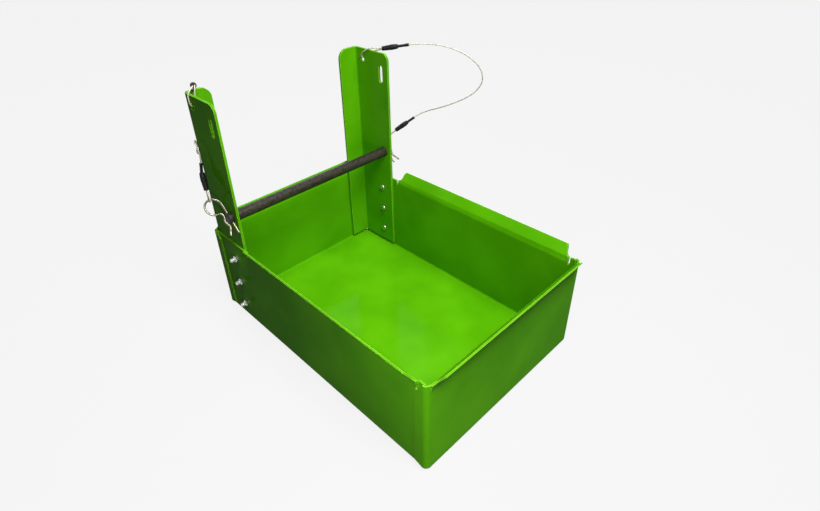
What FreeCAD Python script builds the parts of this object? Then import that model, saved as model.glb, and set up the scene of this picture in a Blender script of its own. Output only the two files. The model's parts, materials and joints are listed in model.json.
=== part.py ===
import FreeCAD, Part
import math
import os

# Jerry can holder: a folded sheet tray with two posts, a lock rod, clips and tethers.
# Millimetres. X runs from the posts (rear) to the open end (front), Y from the near
# side to the far side, Z up. The origin is the centre of the tray's underside.

# Tray, folded from one sheet
TRAY_LENGTH = 384.0          # over the two end walls
TRAY_WIDTH = 260.0           # over the two long walls
WALL_HEIGHT = 123.0          # where a wall ends without a lip
TRAY_SHEET = 2.0
FOLD_RADIUS = 2.5            # inside of the folds along the floor
CORNER_RADIUS = 3.5          # inside of the upright corner folds
TAB_LENGTH = 15.5            # end wall material wrapped round the corner
TAB_DROP = 8.0               # how far a tab's top slopes down to its free end
TAB_SKEW = 3.0               # how much higher a tab's foot stands at its free end
LIP_DROP = 6.0               # how far below that height a wall begins to lean out
LIP_ANGLE = 36.0             # degrees from upright
LIP_BEND_RADIUS = 12.0       # middle of the sheet
LIP_LENGTH = 13.1            # flat strip past the bend
LIP_END_RUN = 21.0           # along the wall, where a lip's edge comes down to the plain wall
LIP_REAR_RUN = 12.0          # the same beside a post
LIP_FROM_CORNER = 14.0       # long walls
LIP_FROM_SIDE = 4.0          # end walls
LIP_FROM_REAR = 82.0         # the long walls stay plain beside the posts
NOTCH_WIDTH = 2.5            # relief cut beside each end of a long wall's lip
NOTCH_DEPTH = 1.0            # below the start of the lip

# Posts, each one folded angle
POST_SHEET = 3.0
POST_FOLD_RADIUS = 3.0
POST_REAR_GAP = 1.5          # between a post and the rear wall
POST_FOOT_GAP = 4.0          # above the tray floor
POST_TOP = 308.5
WEB_WIDTH = 67.5
LEG_WIDTH = 31.7
WEB_CORNER_RADIUS = 9.5
LEG_CORNER_RADIUS = 13.0

# Openings in the post webs, placed from the post's rear face and top edge
TETHER_HOLE = 8.0
TETHER_HOLE_SETBACK = 16.9
TETHER_HOLE_DROP = 14.5
ROW_SETBACK = 53.5           # the slot and the lock rod share this line
SLOT_WIDTH = 7.0
SLOT_LENGTH = 24.0
SLOT_DROP = 17.0

# Lock rod
ROD_DIAMETER = 14.0
ROD_HEIGHT = 164.5
ROD_CLEARANCE = 0.3
ROD_OVERHANG = 6.2           # beyond each post web
ROD_CHAMFER = 1.0
PIN_HOLE = 3.2
PIN_HOLE_FROM_END = 4.0

# Hairpin clips
CLIP_WIRE = 2.5
CLIP_PITCH = 41.0            # degrees that the straight leg points down
CLIP_REACH = 21.5            # from the rod's axis to the tip of the straight leg
CLIP_LEG = 42.0
CLIP_EYE_RADIUS = 10.5
CLIP_NECK = 5.6              # from the straight leg to the wavy one behind the rod
CLIP_TIP_NECK = 5.3          # the same between the rod and the tip
CLIP_HUMP = 8.0
CLIP_FLARE = 10.8
CLIP_BEND_RADIUS = 4.0
CLIP_RUN = (5.5, 11.5, 19.5, 25.5)   # tip, second neck, hump and first neck along the leg
CLIP_TIP_SETBACK = 0.9
CLIP_END_ROUND = 0.8

# Post screws
SCREW_DIAMETER = 5.0
SCREW_CLEARANCE = 0.5
SCREW_SETBACK = 47.5
SCREW_LOW = 27.5
SCREW_PITCH = 37.0
SCREW_COUNT = 3
SCREW_STICKOUT = 6.0
SCREW_CHAMFER = 0.6
HEAD_DIAMETER = 9.5
HEAD_HEIGHT = 2.75
HEAD_ROUND = 1.9
HEX_KEY = 3.0
HEX_DEPTH = 1.6
NUT_FLATS = 8.0
NUT_HEIGHT = 4.0
NUT_BORE_GAP = 0.05
NUT_CHAMFER = 0.6

# Wire rope tethers
CABLE_DIAMETER = 1.8
LOOP_SPREAD = 1.15           # each strand from the middle of a crimp's mouth
POST_LOOP_START = 3.5        # straight strand in front of a crimp
HOOK_LOOP_START = 2.5
CABLE_START = 10.0           # straight cable behind a boot
CABLE_END = 8.0
BEND_SHARE = 0.45            # of the shorter run beside it, given to each bend of a cable
CRIMP_LENGTH = 22.0
CRIMP_RUN = (1.8, 14.3, 17.2)   # where the full part begins and ends, and where the tail begins
CRIMP_MOUTH_RADIUS = 3.0
CRIMP_RADIUS = 3.5
CRIMP_WAIST_RADIUS = 2.8
CRIMP_TAIL_RADIUS = 2.5
BOOT_LENGTH = 12.0
BOOT_FULL_LENGTH = 9.6
BOOT_RADIUS = 2.0
BOOT_MOUTH_RADIUS = 1.0
BOOT_ROUND = 0.4
BOOT_TAIL_RADIUS = 1.5
HOOK_LOOP_LENGTH = 12.0
HOOK_LOOP_HALF_WIDTH = 3.5
HOOK_LOOP_RADIUS = 2.6
HOOK_LOOP_DROP = 2.4         # the loop's end past the middle of the clip wire

# Where each tether leaves its post, and which way it pulls on its clip
NEAR_POST_MOUTH = (-177.2, -118.7, 315.6)
NEAR_POST_AXIS = (-0.88, 0.35, -0.25)
NEAR_CLIP_AXIS = (-0.404, 0.134, 0.904)
NEAR_CLIP_BOOT_AXIS = (0.085, 0.125, 0.988)
FAR_POST_MOUTH = (-142.8, 136.7, 310.4)
FAR_POST_AXIS = (0.73, 0.67, 0.13)
FAR_CLIP_AXIS = (0.46, 0.72, 0.52)
FAR_CLIP_BOOT_AXIS = (0.46, 0.72, 0.52)

# Middle of each cable, past the straight stretch at each end
NEAR_CABLE_ROUTE = [
    (-226.5, -99.0, 296.5),
    (-239.0, -95.0, 285.0),
    (-253.0, -90.0, 271.0),
    (-264.0, -86.0, 254.5),
    (-269.0, -85.0, 235.5),
    (-262.0, -91.0, 218.5),
    (-247.0, -100.0, 209.5),
    (-230.0, -110.0, 211.5),
    (-215.0, -119.0, 222.0),
    (-201.5, -120.5, 239.0),
    (-190.2, -127.6, 249.0),
    (-179.3, -132.8, 252.0),
    (-171.1, -134.0, 244.6),
]
FAR_CABLE_ROUTE = [
    (-97.2, 178.1, 316.6),
    (-78.2, 195.5, 313.0),
    (-60.2, 211.8, 303.5),
    (-43.0, 226.0, 286.0),
    (-38.0, 229.0, 266.0),
    (-46.0, 223.0, 250.0),
    (-61.0, 215.0, 238.0),
    (-79.0, 208.0, 228.0),
    (-98.0, 202.0, 219.0),
    (-114.0, 198.0, 212.5),
]

# Each eye at a post, from the inner strand through the hole to the outer strand
NEAR_POST_LOOP = [
    (-171.6, -121.2, 312.5),
    (-171.2, -123.3, 303.5),
    (-171.6, -123.9, 295.7),
    (-171.6, -129.1, 295.7),
    (-172.4, -130.5, 303.5),
    (-173.2, -128.5, 311.5),
]
FAR_POST_LOOP = [
    (-150.5, 129.6, 311.8),
    (-157.0, 124.0, 310.4),
    (-164.0, 122.4, 306.3),
    (-170.4, 122.7, 301.6),
    (-171.6, 123.9, 295.7),
    (-171.6, 129.1, 295.7),
    (-166.5, 130.6, 300.3),
    (-157.5, 131.6, 304.8),
    (-151.0, 132.6, 307.4),
]

HALF_LENGTH = TRAY_LENGTH / 2
HALF_WIDTH = TRAY_WIDTH / 2
TAB_FACE = HALF_WIDTH + TRAY_SHEET
LIP_START = WALL_HEIGHT - LIP_DROP
FLOOR_FOLD = FOLD_RADIUS + TRAY_SHEET
CORNER_FOLD = CORNER_RADIUS + TRAY_SHEET
LIP_RISE = LIP_BEND_RADIUS * math.sin(math.radians(LIP_ANGLE)) + LIP_LENGTH * math.cos(math.radians(LIP_ANGLE))
WEB_OUTER = HALF_WIDTH - TRAY_SHEET
WEB_INNER = WEB_OUTER - POST_SHEET
POST_REAR = -HALF_LENGTH + TRAY_SHEET + POST_REAR_GAP
POST_FOOT = TRAY_SHEET + POST_FOOT_GAP
ROW_X = POST_REAR + ROW_SETBACK
TETHER_X = POST_REAR + TETHER_HOLE_SETBACK
TETHER_Z = POST_TOP - TETHER_HOLE_DROP
SCREW_X = POST_REAR + SCREW_SETBACK
ROD_END = WEB_OUTER + ROD_OVERHANG
PIN_Y = ROD_END - PIN_HOLE_FROM_END
LEG_WAY = FreeCAD.Vector(math.cos(math.radians(CLIP_PITCH)), 0, -math.sin(math.radians(CLIP_PITCH)))
NEAR, FAR = -1, 1
SIDES = (("near", NEAR), ("far", FAR))
OVERLAP = 1.0                # how far joined bodies of one sheet run into each other
REACH_PAST = 5.0             # how far cutting tools run past the material


def strip_face(points, radii, thickness, place):
    """Section of a sheet of one thickness, folded along a middle line with round bends."""
    middle = [FreeCAD.Vector(u, v, 0) for u, v in points]
    sides = {1: [], -1: []}
    run_start = middle[0]
    for index in range(1, len(middle)):
        ahead = (middle[index] - middle[index - 1]).normalize()
        normal = FreeCAD.Vector(-ahead.y, ahead.x, 0)
        last = index == len(middle) - 1
        if last:
            run_end = middle[index]
        else:
            onward = (middle[index + 1] - middle[index]).normalize()
            turn = math.atan2(ahead.x * onward.y - ahead.y * onward.x, ahead.dot(onward))
            setback = radii[index - 1] * math.tan(abs(turn) / 2)
            run_end = middle[index] - ahead * setback
        for side in sides:
            shift = normal * (side * thickness / 2)
            sides[side].append((run_start + shift, run_end + shift))
        if not last:
            centre = run_end + normal * math.copysign(radii[index - 1], turn)
            half_turn = FreeCAD.Rotation(FreeCAD.Vector(0, 0, 1), math.degrees(turn) / 2)
            for side in sides:
                arm = run_end + normal * (side * thickness / 2) - centre
                bend_middle = half_turn.multVec(arm)
                bend_end = half_turn.multVec(bend_middle)
                sides[side].append((centre + arm, centre + bend_middle, centre + bend_end))
            run_start = middle[index] + onward * setback

    def edge(stretch):
        spots = [place(spot.x, spot.y) for spot in stretch]
        if len(spots) == 2:
            return Part.LineSegment(*spots).toShape()
        return Part.Arc(*spots).toShape()

    left = [edge(stretch) for stretch in sides[1]]
    right = [edge(stretch) for stretch in sides[-1]]
    start_cap = edge((sides[1][0][0], sides[-1][0][0]))
    end_cap = edge((sides[1][-1][-1], sides[-1][-1][-1]))
    return Part.Face(Part.Wire(Part.__sortEdges__(left + right + [start_cap, end_cap])))


def box(x_range, y_range, z_range):
    """Block between two values on each axis, given in either order."""
    lows = [min(pair) for pair in (x_range, y_range, z_range)]
    sizes = [abs(pair[1] - pair[0]) for pair in (x_range, y_range, z_range)]
    return Part.makeBox(*sizes, FreeCAD.Vector(*lows))


def fuse_all(shapes):
    """One solid from several touching ones, with its split faces joined."""
    return shapes[0].fuse(shapes[1:]).removeSplitter()


def mirrored(shape):
    """The same shape on the other side of the tray."""
    return shape.mirror(FreeCAD.Vector(0, 0, 0), FreeCAD.Vector(0, 1, 0))


def on_side(shape, side):
    """A shape made for the near side, put on the side asked for."""
    return shape if side == NEAR else mirrored(shape)


def lip_outline(start, end, runs, place):
    """Upright outline whose top edge comes down at both ends in two equal arcs, like an S."""
    top = LIP_START + LIP_RISE + TRAY_SHEET / 2
    rise = top - WALL_HEIGHT
    foot = LIP_START - OVERLAP
    ends = []
    for place_along, way, run in ((start, 1, runs[0]), (end, -1, runs[1])):
        radius = (run ** 2 + rise ** 2) / (4 * rise)
        half_turn = math.asin(run / 2 / radius) / 2
        bulge = (radius * math.sin(half_turn), radius * (1 - math.cos(half_turn)))
        low = place(place_along, WALL_HEIGHT)
        low_middle = place(place_along + way * bulge[0], WALL_HEIGHT + bulge[1])
        middle = place(place_along + way * run / 2, WALL_HEIGHT + rise / 2)
        high_middle = place(place_along + way * (run - bulge[0]), top - bulge[1])
        high = place(place_along + way * run, top)
        ends.append((place(place_along, foot), low, low_middle, middle, high_middle, high))
    edges = []
    for base, low, low_middle, middle, high_middle, high in ends:
        edges.append(Part.LineSegment(base, low).toShape())
        edges.append(Part.Arc(low, low_middle, middle).toShape())
        edges.append(Part.Arc(middle, high_middle, high).toShape())
    edges.append(Part.LineSegment(ends[0][-1], ends[1][-1]).toShape())
    edges.append(Part.LineSegment(ends[0][0], ends[1][0]).toShape())
    return Part.Face(Part.Wire(Part.__sortEdges__(edges)))


def lip(along_x, start, end, runs, face_distance, outward):
    """Leaning strip on top of one wall, between two places along that wall."""
    middle = face_distance - TRAY_SHEET / 2
    lean = math.radians(LIP_ANGLE)
    bend_top = LIP_START + LIP_BEND_RADIUS * math.tan(lean / 2)
    strip = LIP_LENGTH + LIP_BEND_RADIUS * math.tan(lean / 2)
    points = [
        (middle, LIP_START - OVERLAP),
        (middle, bend_top),
        (middle + strip * math.sin(lean), bend_top + strip * math.cos(lean)),
    ]
    if along_x:
        def across(u, v):
            return FreeCAD.Vector(start, outward * u, v)

        def facing(u, v):
            return FreeCAD.Vector(u, 0, v)
        way = FreeCAD.Vector(end - start, 0, 0)
        sweep = FreeCAD.Vector(0, outward * (face_distance + LIP_LENGTH), 0)
    else:
        def across(u, v):
            return FreeCAD.Vector(outward * u, start, v)

        def facing(u, v):
            return FreeCAD.Vector(0, u, v)
        way = FreeCAD.Vector(0, end - start, 0)
        sweep = FreeCAD.Vector(outward * (face_distance + LIP_LENGTH), 0, 0)
    strip_solid = strip_face(points, [LIP_BEND_RADIUS], TRAY_SHEET, across).extrude(way)
    return strip_solid.common(lip_outline(start, end, runs, facing).extrude(sweep))


def notch(place_along, side):
    """Relief cut with a round bottom beside one end of a long wall's lip."""
    radius = NOTCH_WIDTH / 2
    foot = LIP_START - NOTCH_DEPTH + radius
    wall = (side * (WEB_OUTER - OVERLAP), side * (TAB_FACE + OVERLAP))
    cutter = box((place_along - radius, place_along + radius), wall, (foot, WALL_HEIGHT + REACH_PAST))
    spot = FreeCAD.Vector(place_along, wall[0], foot)
    drill = Part.makeCylinder(radius, abs(wall[1] - wall[0]), spot, FreeCAD.Vector(0, side, 0))
    return cutter.fuse(drill)


def corner_fold(end, side):
    """Upright fold and tab that wrap an end wall round the outside of a long wall."""
    centre_x = end * (HALF_LENGTH - CORNER_FOLD)
    centre_y = side * (TAB_FACE - CORNER_FOLD)
    height = WALL_HEIGHT - FLOOR_FOLD
    foot = FreeCAD.Vector(centre_x, centre_y, FLOOR_FOLD)
    ring = Part.makeCylinder(CORNER_FOLD, height, foot).cut(Part.makeCylinder(CORNER_RADIUS, height, foot))
    quarter = box(
        (centre_x, end * HALF_LENGTH),
        (centre_y, side * TAB_FACE),
        (FLOOR_FOLD, WALL_HEIGHT),
    )
    free_end = end * (HALF_LENGTH - TAB_LENGTH)
    tab_outline = [
        (centre_x, FLOOR_FOLD),
        (free_end, FLOOR_FOLD + TAB_SKEW),
        (free_end, WALL_HEIGHT - TAB_DROP),
        (centre_x, WALL_HEIGHT),
    ]
    spots = [FreeCAD.Vector(x, side * HALF_WIDTH, z) for x, z in tab_outline]
    tab_face = Part.Face(Part.makePolygon(spots + spots[:1]))
    return fuse_all([ring.common(quarter), tab_face.extrude(FreeCAD.Vector(0, side * TRAY_SHEET, 0))])


def tray_body():
    """The whole tray: floor, four walls, lips, notches and wrapped corners."""
    wall_middle = HALF_WIDTH - TRAY_SHEET / 2
    floor_middle = TRAY_SHEET / 2
    fold_middle = FOLD_RADIUS + TRAY_SHEET / 2
    plain_end = HALF_LENGTH - FLOOR_FOLD
    channel = strip_face(
        [(-wall_middle, WALL_HEIGHT), (-wall_middle, floor_middle), (wall_middle, floor_middle),
         (wall_middle, WALL_HEIGHT)],
        [fold_middle, fold_middle],
        TRAY_SHEET,
        lambda u, v: FreeCAD.Vector(-plain_end, u, v),
    ).extrude(FreeCAD.Vector(2 * plain_end, 0, 0))
    parts = [channel]
    cutters = []
    end_edge = TAB_FACE - CORNER_FOLD
    for end in (-1, 1):
        end_wall = strip_face(
            [(plain_end - OVERLAP, floor_middle), (HALF_LENGTH - TRAY_SHEET / 2, floor_middle),
             (HALF_LENGTH - TRAY_SHEET / 2, WALL_HEIGHT)],
            [fold_middle],
            TRAY_SHEET,
            lambda u, v: FreeCAD.Vector(end * u, -end_edge, v),
        ).extrude(FreeCAD.Vector(0, 2 * end_edge, 0))
        parts.append(end_wall)
        parts.extend(corner_fold(end, side) for _, side in SIDES)
    lip_zone_top = WALL_HEIGHT + REACH_PAST
    lip_rear = -HALF_LENGTH + LIP_FROM_REAR
    lip_front = HALF_LENGTH - LIP_FROM_CORNER
    lip_side = HALF_WIDTH - LIP_FROM_SIDE
    for _, side in SIDES:
        wall = (side * (WEB_OUTER - OVERLAP), side * (TAB_FACE + OVERLAP))
        cutters.append(box((lip_rear, lip_front), wall, (LIP_START, lip_zone_top)))
    for end in (-1, 1):
        wall = (end * (HALF_LENGTH - TRAY_SHEET - OVERLAP), end * (HALF_LENGTH + OVERLAP))
        cutters.append(box(wall, (-lip_side, lip_side), (LIP_START, lip_zone_top)))
    body = fuse_all(parts).cut(cutters)
    long_runs = (LIP_REAR_RUN, LIP_END_RUN)
    end_runs = (LIP_END_RUN, LIP_END_RUN)
    lips = [lip(True, lip_rear, lip_front, long_runs, HALF_WIDTH, side) for _, side in SIDES]
    lips += [lip(False, -lip_side, lip_side, end_runs, HALF_LENGTH, end) for end in (-1, 1)]
    body = fuse_all([body] + lips)
    half_notch = NOTCH_WIDTH / 2
    notches = []
    for _, side in SIDES:
        notches.append(notch(lip_rear - half_notch, side))
        notches.append(notch(lip_front + half_notch, side))
    holes = [screw_hole(side, z) for _, side in SIDES for z in screw_heights()]
    return body.cut(notches + holes)


def screw_heights():
    """Heights of the screws in one column."""
    return [SCREW_LOW + SCREW_PITCH * index for index in range(SCREW_COUNT)]


def screw_hole(side, height):
    """Clearance drill through a post web and the tray wall."""
    spot = FreeCAD.Vector(SCREW_X, side * (WEB_INNER - OVERLAP), height)
    reach = POST_SHEET + 2 * TRAY_SHEET + 2 * OVERLAP
    return Part.makeCylinder((SCREW_DIAMETER + SCREW_CLEARANCE) / 2, reach, spot, FreeCAD.Vector(0, side, 0))


def edges_at(shape, **wanted):
    """Edges of a shape whose middle lies at the given x, y or z values."""
    found = []
    for edge in shape.Edges:
        middle = edge.BoundBox.Center
        if all(abs(getattr(middle, axis) - value) < 1e-6 for axis, value in wanted.items()):
            found.append(edge)
    return found


def rim_at(shape, centre):
    """The round edge of a shape whose middle is nearest to a point."""
    return min(shape.Edges, key=lambda edge: edge.BoundBox.Center.distanceToPoint(centre))


def near_post():
    """Folded angle with a wide web beside the tray wall and a narrow leg across the rear."""
    web_middle = -(WEB_OUTER - POST_SHEET / 2)
    leg_middle = POST_REAR + POST_SHEET / 2
    front = POST_REAR + WEB_WIDTH
    leg_edge = -WEB_OUTER + LEG_WIDTH
    section = strip_face(
        [(front, web_middle), (leg_middle, web_middle), (leg_middle, leg_edge)],
        [POST_FOLD_RADIUS + POST_SHEET / 2],
        POST_SHEET,
        lambda u, v: FreeCAD.Vector(u, v, POST_FOOT),
    )
    post = section.extrude(FreeCAD.Vector(0, 0, POST_TOP - POST_FOOT))
    post = post.makeFillet(WEB_CORNER_RADIUS, edges_at(post, x=front, y=web_middle, z=POST_TOP))
    post = post.makeFillet(LEG_CORNER_RADIUS, edges_at(post, x=leg_middle, y=leg_edge, z=POST_TOP))
    through = FreeCAD.Vector(0, 1, 0)
    reach = POST_SHEET + 2 * OVERLAP
    start = -WEB_OUTER - OVERLAP
    slot_radius = SLOT_WIDTH / 2
    slot_top = POST_TOP - SLOT_DROP - slot_radius
    slot_foot = POST_TOP - SLOT_DROP - SLOT_LENGTH + slot_radius
    cutters = [
        Part.makeCylinder(TETHER_HOLE / 2, reach, FreeCAD.Vector(TETHER_X, start, TETHER_Z), through),
        Part.makeCylinder(ROD_DIAMETER / 2 + ROD_CLEARANCE, reach, FreeCAD.Vector(ROW_X, start, ROD_HEIGHT), through),
        Part.makeCylinder(slot_radius, reach, FreeCAD.Vector(ROW_X, start, slot_top), through),
        Part.makeCylinder(slot_radius, reach, FreeCAD.Vector(ROW_X, start, slot_foot), through),
        box((ROW_X - slot_radius, ROW_X + slot_radius), (start, start + reach), (slot_foot, slot_top)),
    ]
    cutters += [screw_hole(NEAR, z) for z in screw_heights()]
    return post.cut(cutters)


def lock_rod():
    """Round bar through both posts, cross drilled near each end for a clip."""
    rod = Part.makeCylinder(ROD_DIAMETER / 2, 2 * ROD_END, FreeCAD.Vector(ROW_X, -ROD_END, ROD_HEIGHT),
                            FreeCAD.Vector(0, 1, 0))
    rims = edges_at(rod, y=-ROD_END) + edges_at(rod, y=ROD_END)
    rod = rod.makeChamfer(ROD_CHAMFER, rims)
    for _, side in SIDES:
        drill = Part.makeCylinder(PIN_HOLE / 2, 2 * ROD_DIAMETER,
                                  pin_spot(side) - LEG_WAY * ROD_DIAMETER, LEG_WAY)
        rod = rod.cut(drill)
    return rod


def pin_spot(side):
    """Where a clip's straight leg crosses the lock rod's axis."""
    return FreeCAD.Vector(ROW_X, side * PIN_Y, ROD_HEIGHT)


def clip_spot(side, back, out):
    """A point on a clip, from how far it lies behind the tip and out from the straight leg."""
    return pin_spot(side) + LEG_WAY * (CLIP_REACH - back) + FreeCAD.Vector(0, side * out, 0)


def route_edges(points, radius=None):
    """Straight runs joined by tangent arcs, with the arc radii."""
    spots = [FreeCAD.Vector(*point) for point in points]
    edges = []
    radii = []
    run_start = spots[0]
    for before, corner, after in zip(spots, spots[1:], spots[2:]):
        back = before - corner
        ahead = after - corner
        turn = math.pi - back.getAngle(ahead)
        if radius is None:
            setback = BEND_SHARE * min(back.Length, ahead.Length)
            bend = setback / math.tan(turn / 2)
        else:
            bend = radius
            setback = bend * math.tan(turn / 2)
        back.normalize()
        ahead.normalize()
        inward = (back + ahead).normalize()
        arc_start = corner + back * setback
        arc_end = corner + ahead * setback
        arc_middle = corner + inward * (bend / math.cos(turn / 2) - bend)
        edges.append(Part.LineSegment(run_start, arc_start).toShape())
        edges.append(Part.Arc(arc_start, arc_middle, arc_end).toShape())
        radii.append(bend)
        run_start = arc_end
    edges.append(Part.LineSegment(run_start, spots[-1]).toShape())
    return edges, radii


def round_bar(edges, diameter):
    """Round wire or cable along joined edges."""
    path = Part.Wire(edges)
    start = path.OrderedVertexes[0].Point
    way = edges[0].tangentAt(edges[0].FirstParameter)
    ring = Part.Wire(Part.makeCircle(diameter / 2, start, way))
    return path.makePipeShell([ring], True, False)


def clip(side):
    """Hairpin clip: straight leg, round eye, and a wavy leg that passes the rod's end."""
    eye_back = CLIP_LEG
    eye_front = CLIP_LEG - CLIP_EYE_RADIUS
    slant = CLIP_EYE_RADIUS * math.sqrt(0.5)
    leg = Part.LineSegment(clip_spot(side, 0, 0), clip_spot(side, eye_back, 0)).toShape()
    eye_far = clip_spot(side, eye_back, 2 * CLIP_EYE_RADIUS)
    eye_rear = clip_spot(side, eye_back + CLIP_EYE_RADIUS, CLIP_EYE_RADIUS)
    eye_end = clip_spot(side, eye_front, CLIP_EYE_RADIUS)
    eye_high = clip_spot(side, eye_back - slant, CLIP_EYE_RADIUS + slant)
    first_half = Part.Arc(clip_spot(side, eye_back, 0), eye_rear, eye_far).toShape()
    last_part = Part.Arc(eye_far, eye_high, eye_end).toShape()
    tip, second_neck, hump, first_neck = CLIP_RUN
    wave = [
        (eye_front, CLIP_EYE_RADIUS),
        (eye_front, CLIP_NECK),
        (first_neck, CLIP_NECK),
        (hump, CLIP_HUMP),
        (second_neck, CLIP_TIP_NECK),
        (CLIP_TIP_SETBACK, CLIP_FLARE),
    ]
    wavy, _ = route_edges([clip_spot(side, back, out) for back, out in wave], CLIP_BEND_RADIUS)
    wire = round_bar([leg, first_half, last_part] + wavy, CLIP_WIRE)
    ends = (clip_spot(side, 0, 0), clip_spot(side, CLIP_TIP_SETBACK, CLIP_FLARE))
    return wire.makeFillet(CLIP_END_ROUND, [rim_at(wire, spot) for spot in ends])


def screw(side, height):
    """Button head screw, its head inside the post and its end outside the tray."""
    outward = FreeCAD.Vector(0, side, 0)
    seat = FreeCAD.Vector(SCREW_X, side * WEB_INNER, height)
    shank_length = POST_SHEET + TRAY_SHEET + NUT_HEIGHT + SCREW_STICKOUT
    shank = Part.makeCylinder(SCREW_DIAMETER / 2, shank_length, seat, outward)
    head = Part.makeCylinder(HEAD_DIAMETER / 2, HEAD_HEIGHT, seat - outward * HEAD_HEIGHT, outward)
    crown = edges_at(head, y=side * (WEB_INNER - HEAD_HEIGHT))
    head = head.makeFillet(HEAD_ROUND, crown)
    key = hexagon_prism(HEX_KEY, seat - outward * HEAD_HEIGHT, outward * HEX_DEPTH)
    end_rim = edges_at(shank, y=side * (WEB_INNER + shank_length))
    shank = shank.makeChamfer(SCREW_CHAMFER, end_rim)
    return fuse_all([shank, head]).cut(key)


def hexagon_prism(flats, centre, way):
    """Six-sided bar measured across its flats."""
    corner_radius = flats / math.sqrt(3)
    spots = []
    for index in range(6):
        angle = math.radians(60 * index)
        offset = FreeCAD.Vector(corner_radius * math.cos(angle), 0, corner_radius * math.sin(angle))
        spots.append(centre + offset)
    return Part.Face(Part.makePolygon(spots + spots[:1])).extrude(way)


def nut(side, height):
    """Hex nut on the outside of the tray wall, its corners turned down."""
    outward = FreeCAD.Vector(0, side, 0)
    seat = FreeCAD.Vector(SCREW_X, side * HALF_WIDTH, height)
    body = hexagon_prism(NUT_FLATS, seat, outward * NUT_HEIGHT)
    corner_radius = NUT_FLATS / math.sqrt(3)
    round_bounds = Part.makeCylinder(corner_radius, NUT_HEIGHT, seat, outward)
    rim = edges_at(round_bounds, y=side * (HALF_WIDTH + NUT_HEIGHT))
    round_bounds = round_bounds.makeChamfer(NUT_CHAMFER, rim)
    bore = Part.makeCylinder(SCREW_DIAMETER / 2 + NUT_BORE_GAP, NUT_HEIGHT, seat, outward)
    return body.common(round_bounds).cut(bore)


def turned(start, axis, stations):
    """Round body along an axis, from distances and radii."""
    way = FreeCAD.Vector(*axis).normalize()
    spots = [FreeCAD.Vector(0, 0, stations[0][0])]
    spots += [FreeCAD.Vector(radius, 0, distance) for distance, radius in stations]
    spots += [FreeCAD.Vector(0, 0, stations[-1][0])]
    face = Part.Face(Part.makePolygon(spots + spots[:1]))
    body = face.revolve(FreeCAD.Vector(0, 0, 0), FreeCAD.Vector(0, 0, 1), 360)
    body.Placement = FreeCAD.Placement(
        FreeCAD.Vector(*start), FreeCAD.Rotation(FreeCAD.Vector(0, 0, 1), way))
    return body


def crimp(start, axis):
    """Shrunk sleeve over a crimp, full at the loop and slim at the cable."""
    full_start, full_end, tail_start = CRIMP_RUN
    return turned(start, axis, [
        (0.0, CRIMP_MOUTH_RADIUS),
        (full_start, CRIMP_RADIUS),
        (full_end, CRIMP_RADIUS),
        (tail_start, CRIMP_WAIST_RADIUS),
        (CRIMP_LENGTH, CRIMP_TAIL_RADIUS),
    ])


def boot(start, axis, crimp_axis):
    """Slim sleeve behind a crimp, its mouth clear of the crimp where the two are at an angle."""
    lean = math.tan(FreeCAD.Vector(*axis).getAngle(FreeCAD.Vector(*crimp_axis)))
    return turned(start, axis, [
        (BOOT_MOUTH_RADIUS * lean, BOOT_MOUTH_RADIUS),
        (BOOT_RADIUS * lean + BOOT_ROUND, BOOT_RADIUS),
        (BOOT_FULL_LENGTH, BOOT_RADIUS),
        (BOOT_LENGTH, BOOT_TAIL_RADIUS),
    ])


def along(start, axis, distance):
    """The point a distance away in a direction."""
    return FreeCAD.Vector(*start) + FreeCAD.Vector(*axis).normalize() * distance


def hook_loop(hook, axis, wire_way):
    """Cable eye round a clip's wire, in the plane across that wire."""
    way = FreeCAD.Vector(*axis).normalize()
    sideways = FreeCAD.Vector(*wire_way).cross(way).normalize()
    outline = [
        (LOOP_SPREAD, HOOK_LOOP_LENGTH),
        (LOOP_SPREAD, HOOK_LOOP_LENGTH - HOOK_LOOP_START),
        (HOOK_LOOP_HALF_WIDTH, -HOOK_LOOP_DROP),
        (-HOOK_LOOP_HALF_WIDTH, -HOOK_LOOP_DROP),
        (-LOOP_SPREAD, HOOK_LOOP_LENGTH - HOOK_LOOP_START),
        (-LOOP_SPREAD, HOOK_LOOP_LENGTH),
    ]
    spots = [hook + sideways * across + way * up for across, up in outline]
    edges, _ = route_edges(spots, HOOK_LOOP_RADIUS)
    return round_bar(edges, CABLE_DIAMETER)


def post_loop(mouth, axis, route):
    """Cable eye through a post's tether hole and over the post's top edge."""
    centre = FreeCAD.Vector(*mouth)
    way = FreeCAD.Vector(*axis).normalize()
    spread = FreeCAD.Vector(*route[0]) - FreeCAD.Vector(*route[-1])
    spread = (spread - way * spread.dot(way)).normalize() * LOOP_SPREAD
    front = centre - way * POST_LOOP_START
    points = [centre + spread, front + spread] + route + [front - spread, centre - spread]
    edges, radii = route_edges(points)
    return round_bar(edges, CABLE_DIAMETER), radii


def cable(start, start_axis, route, end, end_axis):
    """Free cable between two boots, with its arc radii and its length."""
    first = along(start, start_axis, CABLE_START)
    last = along(end, end_axis, CABLE_END)
    edges, radii = route_edges([start, first] + route + [last, end])
    return round_bar(edges, CABLE_DIAMETER), radii, sum(edge.Length for edge in edges)


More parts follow.
